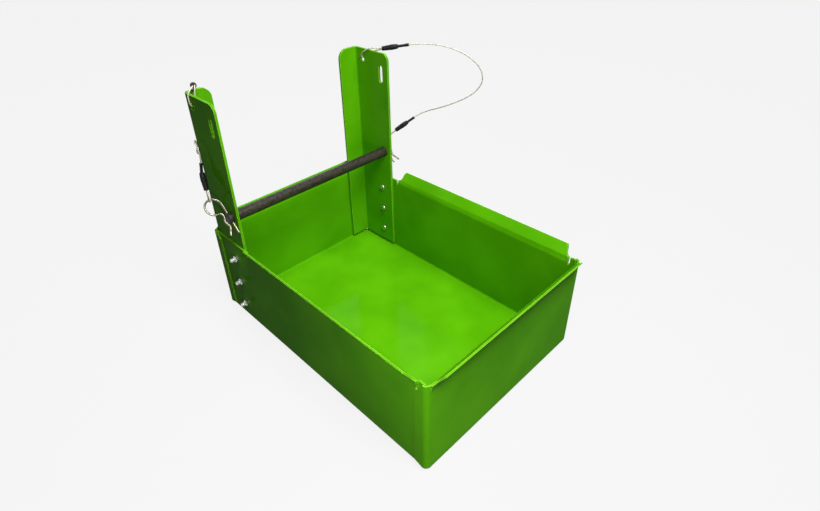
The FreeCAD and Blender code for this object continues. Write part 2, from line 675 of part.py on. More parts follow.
def tether(side_name, side):
    """All pieces of one tether, from the post's hole to the clip's eye."""
    if side == NEAR:
        mouth, axis = NEAR_POST_MOUTH, NEAR_POST_AXIS
        clip_axis, clip_boot_axis = NEAR_CLIP_AXIS, NEAR_CLIP_BOOT_AXIS
        route, loop_route = NEAR_CABLE_ROUTE, NEAR_POST_LOOP
        hook = clip_spot(side, CLIP_LEG + CLIP_EYE_RADIUS, CLIP_EYE_RADIUS)
        wire_way = FreeCAD.Vector(0, 1, 0)
    else:
        mouth, axis = FAR_POST_MOUTH, FAR_POST_AXIS
        clip_axis, clip_boot_axis = FAR_CLIP_AXIS, FAR_CLIP_BOOT_AXIS
        route, loop_route = FAR_CABLE_ROUTE, FAR_POST_LOOP
        hook = clip_spot(side, CLIP_LEG, 2 * CLIP_EYE_RADIUS)
        wire_way = LEG_WAY
    post_tail = along(mouth, axis, CRIMP_LENGTH)
    cable_start = along(post_tail, axis, BOOT_LENGTH)
    clip_mouth = along(hook, clip_axis, HOOK_LOOP_LENGTH)
    clip_tail = along(clip_mouth, clip_axis, CRIMP_LENGTH)
    cable_end = along(clip_tail, clip_boot_axis, BOOT_LENGTH)
    loop, loop_radii = post_loop(mouth, axis, loop_route)
    tube, radii, length = cable(cable_start, axis, route, cable_end, clip_boot_axis)
    print(side_name, "cable radii", [round(radius, 1) for radius in radii])
    print(side_name, "post loop radii", [round(radius, 1) for radius in loop_radii])
    section = math.pi * CABLE_DIAMETER ** 2 / 4
    print(side_name, "cable length", round(length, 1), "volume share", round(tube.Volume / section / length, 4))
    print(side_name, "cable ends", tuple(round(v, 1) for v in cable_start), tuple(round(v, 1) for v in cable_end))
    return {
        side_name + "_post_loop": loop,
        side_name + "_post_crimp": crimp(mouth, axis),
        side_name + "_post_boot": boot(post_tail, axis, axis),
        side_name + "_cable": tube,
        side_name + "_clip_boot": boot(clip_tail, clip_boot_axis, clip_axis),
        side_name + "_clip_crimp": crimp(clip_mouth, clip_axis),
        side_name + "_clip_loop": hook_loop(hook, clip_axis, wire_way),
    }


def holder():
    """Every piece by name."""
    pieces = {"tray_body": tray_body(), "lock_rod": lock_rod()}
    for side_name, side in SIDES:
        pieces[side_name + "_post"] = on_side(near_post(), side)
        pieces[side_name + "_clip"] = clip(side)
        for index, height in enumerate(screw_heights(), start=1):
            pieces["%s_screw_%d" % (side_name, index)] = screw(side, height)
            pieces["%s_nut_%d" % (side_name, index)] = nut(side, height)
        pieces.update(tether(side_name, side))
    return pieces


os.makedirs("parts", exist_ok=True)
for name, shape in holder().items():
    shape.exportStep("parts/%s.step" % name)
    print(name, "solids", len(shape.Solids), "volume", round(shape.Volume, 1), "valid", shape.isValid())
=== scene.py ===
# %% [markdown]
# # Jerry can holder
# A folded steel tray with two tall posts, a lock rod between them, two hairpin clips and two wire rope
# tethers. The frame brings every rigid piece at its real size and place. This lesson gives them their
# finishes, and makes what a solid model leaves plain: screw threads, stranded rope and soft sleeves.

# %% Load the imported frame
import json
import math
import bpy
from mathutils import Matrix, Vector


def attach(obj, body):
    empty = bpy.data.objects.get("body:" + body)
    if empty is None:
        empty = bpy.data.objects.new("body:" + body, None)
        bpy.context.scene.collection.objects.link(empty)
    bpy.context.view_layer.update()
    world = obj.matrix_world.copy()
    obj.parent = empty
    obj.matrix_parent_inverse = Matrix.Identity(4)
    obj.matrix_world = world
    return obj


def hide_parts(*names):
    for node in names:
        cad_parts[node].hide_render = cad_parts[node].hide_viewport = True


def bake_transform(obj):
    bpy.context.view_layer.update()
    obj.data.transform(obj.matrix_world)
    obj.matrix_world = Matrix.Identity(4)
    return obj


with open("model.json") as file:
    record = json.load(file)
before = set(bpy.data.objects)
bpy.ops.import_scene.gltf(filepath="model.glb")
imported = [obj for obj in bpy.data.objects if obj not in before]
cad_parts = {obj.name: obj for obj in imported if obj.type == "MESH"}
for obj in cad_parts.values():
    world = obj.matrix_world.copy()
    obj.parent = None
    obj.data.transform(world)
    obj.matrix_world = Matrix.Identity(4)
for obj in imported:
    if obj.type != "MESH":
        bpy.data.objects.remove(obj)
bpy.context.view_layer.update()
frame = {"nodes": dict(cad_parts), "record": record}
nodes = frame["nodes"]
MM = 0.001
SIDES = ("near", "far")
print("pieces in the frame:", len(nodes))

# %% [markdown]
# Colours are written as hex values, as a paint chart gives them, and Blender wants linear light. One
# function turns them. A second adds any shader node with its settings and links, a ramp's stops among
# them, so that a material reads as a list of what each layer does.


# %% Colour and node helpers
def hex_colour(code):
    """A linear RGBA colour from an sRGB hex value."""
    channels = [int(code[index:index + 2], 16) / 255 for index in (1, 3, 5)]
    linear = [c / 12.92 if c <= 0.04045 else ((c + 0.055) / 1.055) ** 2.4 for c in channels]
    return (*linear, 1.0)


def put_stops(elements, stops):
    """Puts (place, colour) stops on a colour ramp."""
    while len(elements) < len(stops):
        elements.new(0.5)
    for element, (place, colour) in zip(elements, stops):
        element.position = place
        element.color = colour


def add(tree, kind, settings=None, **inputs):
    """A shader node of one kind: settings are its own values, inputs are sockets set or linked by name."""
    node = tree.nodes.new(kind)
    for name, value in (settings or {}).items():
        if name == "stops":
            put_stops(node.color_ramp.elements, value)
        else:
            setattr(node, name, value)
    for name, value in inputs.items():
        socket = node.inputs[int(name[1:])] if name[0] == "_" else node.inputs[name.replace("_", " ")]
        if isinstance(value, bpy.types.NodeSocket):
            tree.links.new(value, socket)
        else:
            socket.default_value = value
    return node


def new_material(name):
    """An empty material with its object coordinates, surface shader and output."""
    material = bpy.data.materials.new(name)
    material.use_nodes = True
    tree = material.node_tree
    tree.nodes.clear()
    place = add(tree, "ShaderNodeTexCoord").outputs["Object"]
    surface = add(tree, "ShaderNodeBsdfPrincipled")
    output = add(tree, "ShaderNodeOutputMaterial")
    tree.links.new(surface.outputs["BSDF"], output.inputs["Surface"])
    return material, tree, place, surface


def grey(level):
    """The colour of a stop that carries a plain number."""
    return (level, level, level, 1.0)


def pattern(size):
    """The scale that makes a pattern's features this many millimetres across."""
    return 1.0 / (size * MM)


print("helpers: white is", hex_colour("#FFFFFF")[:3])


# %% [markdown]
# The camera comes first, because everything else is judged through it. A least-squares fit to the folds,
# slots and posts gave its place, its direction and the focal length in pixels. The picture was trimmed off
# centre, so its middle is not where the lens pointed, and a small shift puts that right.

# %% Camera at the photograph's place
PICTURE_WIDTH, PICTURE_HEIGHT = 820, 511
FOCAL_PIXELS = 542.3
LENS_POINT = (401.1, 231.6)
CAMERA_PLACE = Vector((411.9, -369.0, 509.7)) * MM
CAMERA_LOOK = Vector((-0.6011, 0.5770, -0.5529))
CAMERA_UP = Vector((-0.3802, 0.4020, 0.8329))

camera_data = bpy.data.cameras.new("camera")
camera_data.sensor_width = 36.0
camera_data.lens = FOCAL_PIXELS / PICTURE_WIDTH * camera_data.sensor_width
camera_data.shift_x = (PICTURE_WIDTH / 2 - LENS_POINT[0]) / PICTURE_WIDTH
camera_data.shift_y = (LENS_POINT[1] - PICTURE_HEIGHT / 2) / PICTURE_WIDTH
camera_data.clip_start = 0.01
camera_data.clip_end = 20.0
camera = bpy.data.objects.new("camera", camera_data)
bpy.context.scene.collection.objects.link(camera)
camera_right = CAMERA_LOOK.cross(CAMERA_UP).normalized()
camera_back = -CAMERA_LOOK.normalized()
camera_top = camera_back.cross(camera_right)
turn = Matrix((camera_right, camera_top, camera_back)).transposed().to_4x4()
camera.matrix_world = Matrix.Translation(CAMERA_PLACE) @ turn
bpy.context.scene.camera = camera
print("lens", round(camera_data.lens, 2), "mm")

# %% [markdown]
# Wire rope is steel strands twisted round a core. A round tube would shine along one line, while real rope
# glints in short slanted strokes. So the section here has six lobes, and it turns as it goes along the
# route. The route is a smooth spline through a few chosen points, the way a stiff rope really lies.

# %% Route and rope helpers
ROPE_DIAMETER = 1.8 * MM
ROPE_STRANDS = 6
ROPE_LAY = 11.0 * MM
ROPE_LOBE_POINTS = 4
ROPE_GROOVE = 0.14
ROPE_STEP = 0.55 * MM


def spline_points(points):
    """Points read along the smooth spline that has these points as its control points."""
    curve = bpy.data.curves.new("route", "CURVE")
    curve.dimensions = "3D"
    curve.resolution_u = 24
    spline = curve.splines.new("NURBS")
    spline.points.add(len(points) - 1)
    for control, point in zip(spline.points, points):
        control.co = (*point, 1.0)
    spline.order_u = 3
    spline.use_endpoint_u = True
    holder = bpy.data.objects.new("route", curve)
    mesh = bpy.data.meshes.new_from_object(holder)
    found = [vertex.co.copy() for vertex in mesh.vertices]
    bpy.data.objects.remove(holder)
    bpy.data.meshes.remove(mesh)
    bpy.data.curves.remove(curve)
    return found


def even_points(points, step):
    """The same line, with its points a fixed step apart."""
    lengths = [0.0]
    for before, after in zip(points, points[1:]):
        lengths.append(lengths[-1] + (after - before).length)
    count = max(2, round(lengths[-1] / step))
    line = []
    index = 0
    for number in range(count + 1):
        wanted = lengths[-1] * number / count
        while index < len(lengths) - 2 and lengths[index + 1] < wanted:
            index += 1
        span = lengths[index + 1] - lengths[index]
        share = (wanted - lengths[index]) / span if span else 0.0
        line.append(points[index].lerp(points[index + 1], share))
    return line, lengths[-1]


def rings_to_object(name, rings, material):
    """A closed skin over rings of the same number of points, its two ends capped."""
    around = len(rings[0])
    vertices = [spot for ring in rings for spot in ring]
    faces = []
    for level in range(len(rings) - 1):
        for index in range(around):
            after = (index + 1) % around
            low, high = level * around, (level + 1) * around
            faces.append((low + index, low + after, high + after, high + index))
    faces.append(tuple(reversed(range(around))))
    faces.append(tuple(range(len(vertices) - around, len(vertices))))
    mesh = bpy.data.meshes.new(name)
    mesh.from_pydata(vertices, [], faces)
    mesh.polygons.foreach_set("use_smooth", [len(face) == 4 for face in faces])
    mesh.materials.append(material)
    mesh.update()
    piece = bpy.data.objects.new(name, mesh)
    bpy.context.scene.collection.objects.link(piece)
    return piece


def rings_along(line, section):
    """Rings that follow a line without twisting of their own; section gives (radius, angle) pairs."""
    rings = []
    ahead = (line[1] - line[0]).normalized()
    across = ahead.orthogonal().normalized()
    length = 0.0
    for index, spot in enumerate(line):
        before = line[max(index - 1, 0)]
        after = line[min(index + 1, len(line) - 1)]
        ahead = (after - before).normalized()
        across = (across - ahead * across.dot(ahead)).normalized()
        over = ahead.cross(across)
        if index:
            length += (spot - line[index - 1]).length
        ring = []
        for radius, angle in section(length):
            ring.append(spot + (across * math.cos(angle) + over * math.sin(angle)) * radius)
        rings.append(ring)
    return rings


def rope_section(length):
    """Six round strands side by side, turned by how far along the rope they are."""
    turned = 2 * math.pi * length / ROPE_LAY
    count = ROPE_STRANDS * ROPE_LOBE_POINTS
    section = []
    for index in range(count):
        angle = 2 * math.pi * index / count
        lobe = abs(math.cos(ROPE_STRANDS * angle / 2))
        section.append((ROPE_DIAMETER / 2 * (1 - ROPE_GROOVE + ROPE_GROOVE * lobe), angle + turned))
    return section


def rope(name, points, material):
    """A stranded rope along the spline of a route, with its line and its length."""
    line, length = even_points(spline_points(points), ROPE_STEP)
    piece = rings_to_object(name, rings_along(line, rope_section), material)
    return piece, line, length


print("rope:", ROPE_STRANDS, "strands on", round(ROPE_DIAMETER / MM, 2), "mm")

# %% [markdown]
# The rope is galvanised steel, dulled by a clear film. Each wire is far too thin to show, so the strands
# carry the look: dark grooves between them, a soft zinc grey on their backs, and a faint warm tint. The
# patches are drawn about a millimetre across, coarser than the wires, so that they show.


# %% Galvanised wire rope
def galvanised_rope():
    """Dull zinc over steel wires, a little darker and rougher in patches."""
    material, tree, place, surface = new_material("galvanised wire rope")
    wires = add(tree, "ShaderNodeTexNoise", Vector=place, Scale=pattern(1.11), Detail=3.0)
    colour = add(tree, "ShaderNodeValToRGB", {"stops": [
        (0.30, hex_colour("#8C8375")),
        (0.62, hex_colour("#D9CFC0")),
    ]}, Fac=wires.outputs["Fac"])
    roughness = add(tree, "ShaderNodeValToRGB", {"stops": [(0.3, grey(0.62)), (0.7, grey(0.46))]},
                    Fac=wires.outputs["Fac"])
    tree.links.new(colour.outputs["Color"], surface.inputs["Base Color"])
    tree.links.new(roughness.outputs["Color"], surface.inputs["Roughness"])
    surface.inputs["Metallic"].default_value = 0.4
    bump = add(tree, "ShaderNodeBump", Height=wires.outputs["Fac"], Strength=0.25, Distance=0.05 * MM)
    tree.links.new(bump.outputs["Normal"], surface.inputs["Normal"])
    return material


ROPE_FINISH = galvanised_rope()
print("finish:", ROPE_FINISH.name)

# %% [markdown]
# Each tether runs from a post's hole to a clip. Its route repeats the frame's points, in millimetres, with
# a straight stretch out of the sleeve at each end. The near one drops behind its post and shows again
# beside the post's rear edge. The far one stands out in a wide arc, because the rope is stiff.

# %% Tether routes
CRIMP_LENGTH = 22.0
BOOT_LENGTH = 12.0
HOOK_LOOP_LENGTH = 12.0
CABLE_START = 10.0
CABLE_END = 8.0
TETHERS = {
    "near": {
        "post_mouth": (-177.2, -118.7, 315.6),
        "post_axis": (-0.88, 0.35, -0.25),
        "clip_axis": (-0.404, 0.134, 0.904),
        "clip_boot_axis": (0.085, 0.125, 0.988),
        "route": [
            (-226.5, -99.0, 296.5),
            (-239.0, -95.0, 285.0),
            (-253.0, -90.0, 271.0),
            (-264.0, -86.0, 254.5),
            (-269.0, -85.0, 235.5),
            (-262.0, -91.0, 218.5),
            (-247.0, -100.0, 209.5),
            (-230.0, -110.0, 211.5),
            (-215.0, -119.0, 222.0),
            (-201.5, -120.5, 239.0),
            (-190.2, -127.6, 249.0),
            (-179.3, -132.8, 252.0),
            (-171.1, -134.0, 244.6),
        ],
        "post_loop": [
            (-171.6, -121.2, 312.5),
            (-171.2, -123.3, 303.5),
            (-171.6, -123.9, 295.7),
            (-171.6, -129.1, 295.7),
            (-172.4, -130.5, 303.5),
            (-173.2, -128.5, 311.5),
        ],
    },
    "far": {
        "post_mouth": (-142.8, 136.7, 310.4),
        "post_axis": (0.73, 0.67, 0.13),
        "clip_axis": (0.46, 0.72, 0.52),
        "clip_boot_axis": (0.46, 0.72, 0.52),
        "route": [
            (-97.2, 178.1, 316.6),
            (-78.2, 195.5, 313.0),
            (-60.2, 211.8, 303.5),
            (-43.0, 226.0, 286.0),
            (-38.0, 229.0, 266.0),
            (-46.0, 223.0, 250.0),
            (-61.0, 215.0, 238.0),
            (-79.0, 208.0, 228.0),
            (-98.0, 202.0, 219.0),
            (-114.0, 198.0, 212.5),
        ],
        "post_loop": [
            (-150.5, 129.6, 311.8),
            (-157.0, 124.0, 310.4),
            (-164.0, 122.4, 306.3),
            (-170.4, 122.7, 301.6),
            (-171.6, 123.9, 295.7),
            (-171.6, 129.1, 295.7),
            (-166.5, 130.6, 300.3),
            (-157.5, 131.6, 304.8),
            (-151.0, 132.6, 307.4),
        ],
    },
}
for side in SIDES:
    print(side, "tether:", len(TETHERS[side]["route"]), "points on its route")

# %% [markdown]
# The hook on each clip is found from the clip itself: the rod's axis, the way the clip's straight leg
# points, and the size of its eye. That keeps the rope on the wire it is looped round.

# %% Hooks on the clips
ROD_LINE = Vector((-135.0, 0.0, 164.5))
PIN_Y = 130.2
CLIP_PITCH = math.radians(41.0)
CLIP_WAY = Vector((math.cos(CLIP_PITCH), 0.0, -math.sin(CLIP_PITCH)))
CLIP_REACH, CLIP_LEG, CLIP_EYE_RADIUS = 21.5, 42.0, 10.5


def clip_spot(side, back, out):
    """A point on a clip, from how far behind the tip and how far out from the leg it lies."""
    outward = -1 if side == "near" else 1
    return ROD_LINE + CLIP_WAY * (CLIP_REACH - back) + Vector((0.0, outward * (PIN_Y + out), 0.0))


def hook_spot(side):
    """Where the rope bears on the clip's eye."""
    if side == "near":
        return clip_spot(side, CLIP_LEG + CLIP_EYE_RADIUS, CLIP_EYE_RADIUS)
    return clip_spot(side, CLIP_LEG, 2 * CLIP_EYE_RADIUS)


def tether_stations(side):
    """The points where one tether's sleeves start and end, in millimetres."""
    facts = TETHERS[side]
    post_axis = Vector(facts["post_axis"]).normalized()
    clip_axis = Vector(facts["clip_axis"]).normalized()
    boot_axis = Vector(facts["clip_boot_axis"]).normalized()
    post_mouth = Vector(facts["post_mouth"])
    post_tail = post_mouth + post_axis * CRIMP_LENGTH
    cable_start = post_tail + post_axis * BOOT_LENGTH
    clip_mouth = hook_spot(side) + clip_axis * HOOK_LOOP_LENGTH
    clip_tail = clip_mouth + clip_axis * CRIMP_LENGTH
    cable_end = clip_tail + boot_axis * BOOT_LENGTH
    return {
        "post_mouth": post_mouth, "post_tail": post_tail, "cable_start": cable_start,
        "clip_mouth": clip_mouth, "clip_tail": clip_tail, "cable_end": cable_end,
        "post_axis": post_axis, "clip_axis": clip_axis, "boot_axis": boot_axis,
    }


for side in SIDES:
    print(side, "rope bears on its clip at", [round(value, 1) for value in hook_spot(side)], "mm")

# %% [markdown]
# Each eye is the same rope, led through its hole or round the clip's wire and back beside itself. A post's
# eye repeats the frame's points. A clip's eye is worked out across the wire that it hangs on.

# %% Eyes of rope
LOOP_SPREAD = 1.15
POST_LOOP_START = 3.5
HOOK_LOOP_START = 2.5
HOOK_LOOP_HALF_WIDTH = 3.5
HOOK_LOOP_DROP = 2.4


def post_eye_points(side):
    """The eye through a post's hole, from the sleeve's mouth and back to it."""
    at = tether_stations(side)
    route = [Vector(point) for point in TETHERS[side]["post_loop"]]
    spread = route[0] - route[-1]
    spread = (spread - at["post_axis"] * spread.dot(at["post_axis"])).normalized() * LOOP_SPREAD
    front = at["post_mouth"] - at["post_axis"] * POST_LOOP_START
    return [at["post_mouth"] + spread, front + spread] + route + [front - spread, at["post_mouth"] - spread]


def clip_eye_points(side):
    """The eye round a clip's wire, in the plane across that wire."""
    at = tether_stations(side)
    wire_way = Vector((0.0, 1.0, 0.0)) if side == "near" else CLIP_WAY
    sideways = wire_way.cross(at["clip_axis"]).normalized()
    straight = HOOK_LOOP_LENGTH - HOOK_LOOP_START
    outline = [
        (LOOP_SPREAD, HOOK_LOOP_LENGTH),
        (LOOP_SPREAD, straight),
        (HOOK_LOOP_HALF_WIDTH, -HOOK_LOOP_DROP),
        (-HOOK_LOOP_HALF_WIDTH, -HOOK_LOOP_DROP),
        (-LOOP_SPREAD, straight),
        (-LOOP_SPREAD, HOOK_LOOP_LENGTH),
    ]
    return [hook_spot(side) + sideways * across + at["clip_axis"] * up for across, up in outline]


for side in SIDES:
    post_eye, _, length = rope(side + "_post_eye", [p * MM for p in post_eye_points(side)], ROPE_FINISH)
    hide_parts(side + "_post_loop")
    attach(post_eye, "holder")
    clip_eye, _, _ = rope(side + "_clip_eye", [p * MM for p in clip_eye_points(side)], ROPE_FINISH)
    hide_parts(side + "_clip_loop")
    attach(clip_eye, side + "_clip_set")
    print(side, "post eye", round(length / MM, 1), "mm of rope")

# %% [markdown]
# The sleeves are heat shrink tube, drawn tight over a crimped ferrule. Polyolefin shrink is black and
# satin. It takes the shape of what it covers, so two barrels of the ferrule show through it as soft swells.
# A second, slimmer tube guards the rope behind it. Both have a real wall, seen at their cut ends. The skin
# waves every three millimetres or so, where the tube shrank unevenly.


# %% Heat shrink tube
def heat_shrink():
    """Satin black polyolefin with a faint uneven surface."""
    material, tree, place, surface = new_material("black heat shrink")
    waves = add(tree, "ShaderNodeTexNoise", Vector=place, Scale=pattern(2.94), Detail=2.0)
    colour = add(tree, "ShaderNodeValToRGB", {"stops": [
        (0.3, hex_colour("#0A0A0B")),
        (0.7, hex_colour("#171617")),
    ]}, Fac=waves.outputs["Fac"])
    tree.links.new(colour.outputs["Color"], surface.inputs["Base Color"])
    surface.inputs["Roughness"].default_value = 0.45
    surface.inputs["Specular IOR Level"].default_value = 0.15
    bump = add(tree, "ShaderNodeBump", Height=waves.outputs["Fac"], Strength=0.3, Distance=0.2 * MM)
    tree.links.new(bump.outputs["Normal"], surface.inputs["Normal"])
    return material


SLEEVE_FINISH = heat_shrink()
print("finish:", SLEEVE_FINISH.name)

# %% [markdown]
# Each sleeve is a ring of points led along its stretch of rope, with a radius read from a short profile.
# A slow ripple round the ring keeps it from looking turned on a lathe. The thick sleeve and the slim one
# share one line, so they bend together where a clip's rope does.

# %% Sleeves along the rope
SLEEVE_STEP = 0.4 * MM
SLEEVE_POINTS = 28
SLEEVE_WALL = 0.45
SLEEVE_RIPPLE = 0.018
BEND_ROOM = 5.0
CRIMP_PROFILE = [
    (0.0, 2.75), (1.0, 3.05), (5.0, 3.15), (7.6, 3.4), (8.6, 3.3),
    (12.0, 3.65), (16.5, 3.6), (18.5, 3.3), (20.8, 3.05), (22.0, 2.5),
]
BOOT_PROFILE = [(0.0, 1.75), (3.0, 1.85), (8.0, 1.8), (10.5, 1.95), (12.0, 2.1), (13.2, 2.0)]
BOOT_REACH = {"post": 3.0, "clip": 0.0}


def profile_radius(profile, distance):
    """The radius at a distance along a profile, eased between its points."""
    for (start, low), (end, high) in zip(profile, profile[1:]):
        if distance <= end:
            share = (distance - start) / (end - start)
            return low + (high - low) * share * share * (3 - 2 * share)
    return profile[-1][1]


def sleeve(name, line, profile, material):
    """A tube shrunk onto a line, open at both cut ends, from a profile in millimetres."""
    def section(length):
        radius = profile_radius(profile, length / MM) * MM
        ring = []
        for index in range(SLEEVE_POINTS):
            angle = 2 * math.pi * index / SLEEVE_POINTS
            ripple = math.sin(2 * angle + length / MM) + math.sin(3 * angle - 1.7 * length / MM)
            ring.append((radius * (1 + SLEEVE_RIPPLE * ripple / 2), angle))
        return ring

    rings = rings_along(line, section)
    middles = [sum(ring, Vector()) / len(ring) for ring in rings]
    first_way = (middles[1] - middles[0]).normalized() * SLEEVE_WALL * MM
    last_way = (middles[-2] - middles[-1]).normalized() * SLEEVE_WALL * MM
    inner = 1 - SLEEVE_WALL / profile[0][1]
    mouth = [middles[0] + (spot - middles[0]) * inner for spot in rings[0]]
    tail_inner = 1 - SLEEVE_WALL / profile[-1][1]
    tail = [middles[-1] + (spot - middles[-1]) * tail_inner for spot in rings[-1]]
    inside_mouth = [spot + first_way for spot in mouth]
    inside_tail = [spot + last_way for spot in tail]
    return rings_to_object(name, [inside_mouth, mouth, *rings, tail, inside_tail], material)


def sleeve_lines(mouth, tail, end, axis, end_axis):
    """One line through both sleeves of a crimp, eased where they meet, cut where the slim one starts."""
    controls = [mouth, tail - axis * BEND_ROOM, tail, tail + end_axis * BEND_ROOM, end]
    line, length = even_points(spline_points([point * MM for point in controls]), SLEEVE_STEP)
    cut = round(CRIMP_LENGTH * MM / length * (len(line) - 1))
    return line[:cut + 1], line[cut - 1:]


for side in SIDES:
    at = tether_stations(side)
    places = {
        "post": (at["post_mouth"], at["post_tail"], at["cable_start"], at["post_axis"], at["post_axis"]),
        "clip": (at["clip_mouth"], at["clip_tail"], at["cable_end"], at["clip_axis"], at["boot_axis"]),
    }
    for end, (mouth, tail, stop, axis, end_axis) in places.items():
        stop = stop + end_axis * BOOT_REACH[end]
        thick_line, slim_line = sleeve_lines(mouth, tail, stop, axis, end_axis)
        body = "holder" if end == "post" else side + "_clip_set"
        kinds = (("crimp", thick_line, CRIMP_PROFILE), ("boot", slim_line, BOOT_PROFILE))
        for kind, line, profile in kinds:
            piece = sleeve("%s_%s_%s_sleeve" % (side, end, kind), line, profile, SLEEVE_FINISH)
            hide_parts("%s_%s_%s" % (side, end, kind))
            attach(piece, body)

# %% [markdown]
# The free rope of a tether belongs to two bodies: one end stays with the post and the other goes with the
# clip. Here it is built where it lies, its points baked into place, and attached to neither body.

# %% Tether cables
for side in SIDES:
    at = tether_stations(side)
    controls = [at["cable_start"], at["cable_start"] + at["post_axis"] * CABLE_START]
    controls += [Vector(point) for point in TETHERS[side]["route"]]
    controls += [at["cable_end"] + at["boot_axis"] * CABLE_END, at["cable_end"]]
    controls = [point * MM for point in controls]
    cable, line, length = rope(side + "_tether_cable", controls, ROPE_FINISH)
    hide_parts(side + "_cable")
    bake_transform(cable)
    print(side, "cable", round(length / MM, 1), "mm")

# %% [markdown]
# Powder coat is dry paint fused onto the steel in an oven. It is a thick, glossy, very even skin. Close up
# it has orange peel, a shallow ripple one or two millimetres across, and it rounds every cut edge. Each
# edge
# is given a lighter green: that is a painted highlight, for the light that the rounded edge catches. How
# far the rounded normal leans away from the flat one tells where an edge is. All the gloss is in a weak
# coat layer, because the paint's own gloss would mirror the pale floor and turn the walls milky. The passes
# of the spray gun lie some 70 millimetres apart, and the tone drifts over that width. The gloss drifts over
# about 20.


# %% Green powder coat
EDGE_ROUND = 0.9
# Where the painted edge highlight begins and where it is full, read from the dot of the rounded and flat
# normals.
EDGE_HIGHLIGHT_BEGINS, EDGE_HIGHLIGHT_FULL = 0.97, 0.84


def powder_coat():
    """Gloss green powder coat with orange peel, and a painted highlight along each cut edge."""
    material, tree, place, surface = new_material("green powder coat")
    drift = add(tree, "ShaderNodeTexNoise", Vector=place, Scale=pattern(71.4), Detail=2.0)
    colour = add(tree, "ShaderNodeValToRGB", {"stops": [
        (0.35, hex_colour("#4C9A04")),
        (0.65, hex_colour("#58A808")),
    ]}, Fac=drift.outputs["Fac"])
    peel = add(tree, "ShaderNodeTexNoise", Vector=place, Scale=pattern(1.61), Detail=1.5)
    gloss = add(tree, "ShaderNodeTexNoise", Vector=place, Scale=pattern(22.2), Detail=3.0)
    roughness = add(tree, "ShaderNodeValToRGB", {"stops": [(0.3, grey(0.18)), (0.7, grey(0.26))]},
                    Fac=gloss.outputs["Fac"])
    rounded = add(tree, "ShaderNodeBevel", {"samples": 8}, Radius=EDGE_ROUND * MM)
    flat = add(tree, "ShaderNodeNewGeometry").outputs["Normal"]
    facing = add(tree, "ShaderNodeVectorMath", {"operation": "DOT_PRODUCT"},
                 _0=rounded.outputs["Normal"], _1=flat)
    # Painted highlight: the colour turns to a light lime green where the rounded normal leans away from the
    # flat one.
    edge = add(tree, "ShaderNodeMapRange", Value=facing.outputs["Value"],
               From_Min=EDGE_HIGHLIGHT_BEGINS, From_Max=EDGE_HIGHLIGHT_FULL, To_Min=0.0, To_Max=1.0)
    painted = add(tree, "ShaderNodeMix", {"data_type": "RGBA"}, _0=edge.outputs["Result"],
                  _6=colour.outputs["Color"], _7=hex_colour("#A6E04A"))
    tree.links.new(painted.outputs[2], surface.inputs["Base Color"])
    tree.links.new(roughness.outputs["Color"], surface.inputs["Roughness"])
    surface.inputs["IOR"].default_value = 1.5
    surface.inputs["Specular IOR Level"].default_value = 0.0
    surface.inputs["Coat Weight"].default_value = 0.05
    surface.inputs["Coat Roughness"].default_value = 0.08
    bump = add(tree, "ShaderNodeBump", Height=peel.outputs["Fac"], Normal=rounded.outputs["Normal"],
               Strength=0.12, Distance=0.08 * MM)
    tree.links.new(bump.outputs["Normal"], surface.inputs["Normal"])
    return material


GREEN_FINISH = powder_coat()
print("finish:", GREEN_FINISH.name)


# %% [markdown]
# The lips are bent on a press brake, and each end is cut in a short S. The solid's S is longer than the
# real one, and its rim lies a little low. Each lip is one section swept along its wall, so its points can
# slide along the wall and stay on the sheet, and the points of the rim can rise. A copy of the tray has
# both put right at the open corners, and takes the place of the plain one.

# %% Shorter lip ends and a higher rim
HALF_LENGTH, HALF_WIDTH = 192.0, 130.0
LIP_FOOT, RIM_HEIGHT = 117.0, 122.9
LIP_SHEET = 8.0
SOLID_RUN = 21.0
FRONT_LIP_START, FRONT_STEP, FRONT_RUN = 4.0, 7.0, 10.0
SIDE_LIP_START, SIDE_LIP_REAR, SIDE_RUN = 14.0, -110.0, 12.0
CORNER_RAISE, FRONT_RAISE, SIDE_RAISE = 4.4, 2.2, 2.4
HAIR = 0.01


def shorter_end(distance, start, step, run):
    """A distance from a lip's end, with the S squeezed to a shorter run that begins at the step."""
    if not start + HAIR < distance < start + SOLID_RUN + HAIR:
        return distance
    return step + (distance - start) * run / SOLID_RUN


def eased(low, high, share):
    """A value between two others, held at both ends."""
    return low + (high - low) * min(1.0, max(0.0, share))


def lip_point(x, y, z):
    """Where one point of the solid's lips or corner rims lies on the real tray."""
    from_front, from_side = HALF_LENGTH - x, HALF_WIDTH - abs(y)
    outward = 1 if y > 0 else -1
    raised = CORNER_RAISE
    if from_side > FRONT_LIP_START - HAIR and from_front < LIP_SHEET:
        from_side = shorter_end(from_side, FRONT_LIP_START, FRONT_STEP, FRONT_RUN)
        raised = eased(CORNER_RAISE, FRONT_RAISE, (from_side - FRONT_STEP) / FRONT_RUN)
        y = outward * (HALF_WIDTH - from_side)
    elif from_front > SIDE_LIP_START - HAIR:
        from_front = shorter_end(from_front, SIDE_LIP_START, SIDE_LIP_START, SIDE_RUN)
        raised = eased(0.0, SIDE_RAISE, (x - SIDE_LIP_REAR) / SOLID_RUN)
        x = HALF_LENGTH - from_front
    return x, y, z + (raised if z > RIM_HEIGHT else 0.0)


def tray_with_real_lips(solid):
    """A copy of the tray with the lips of the real one."""
    piece = bpy.data.objects.new("folded_tray", solid.data.copy())
    piece.matrix_world = solid.matrix_world
    bpy.context.scene.collection.objects.link(piece)
    for vertex in piece.data.vertices:
        x, y, z = vertex.co / MM
        if z > LIP_FOOT - HAIR and x > SIDE_LIP_REAR - HAIR:
            vertex.co = Vector(lip_point(x, y, z)) * MM
    piece.data.update()
    return piece


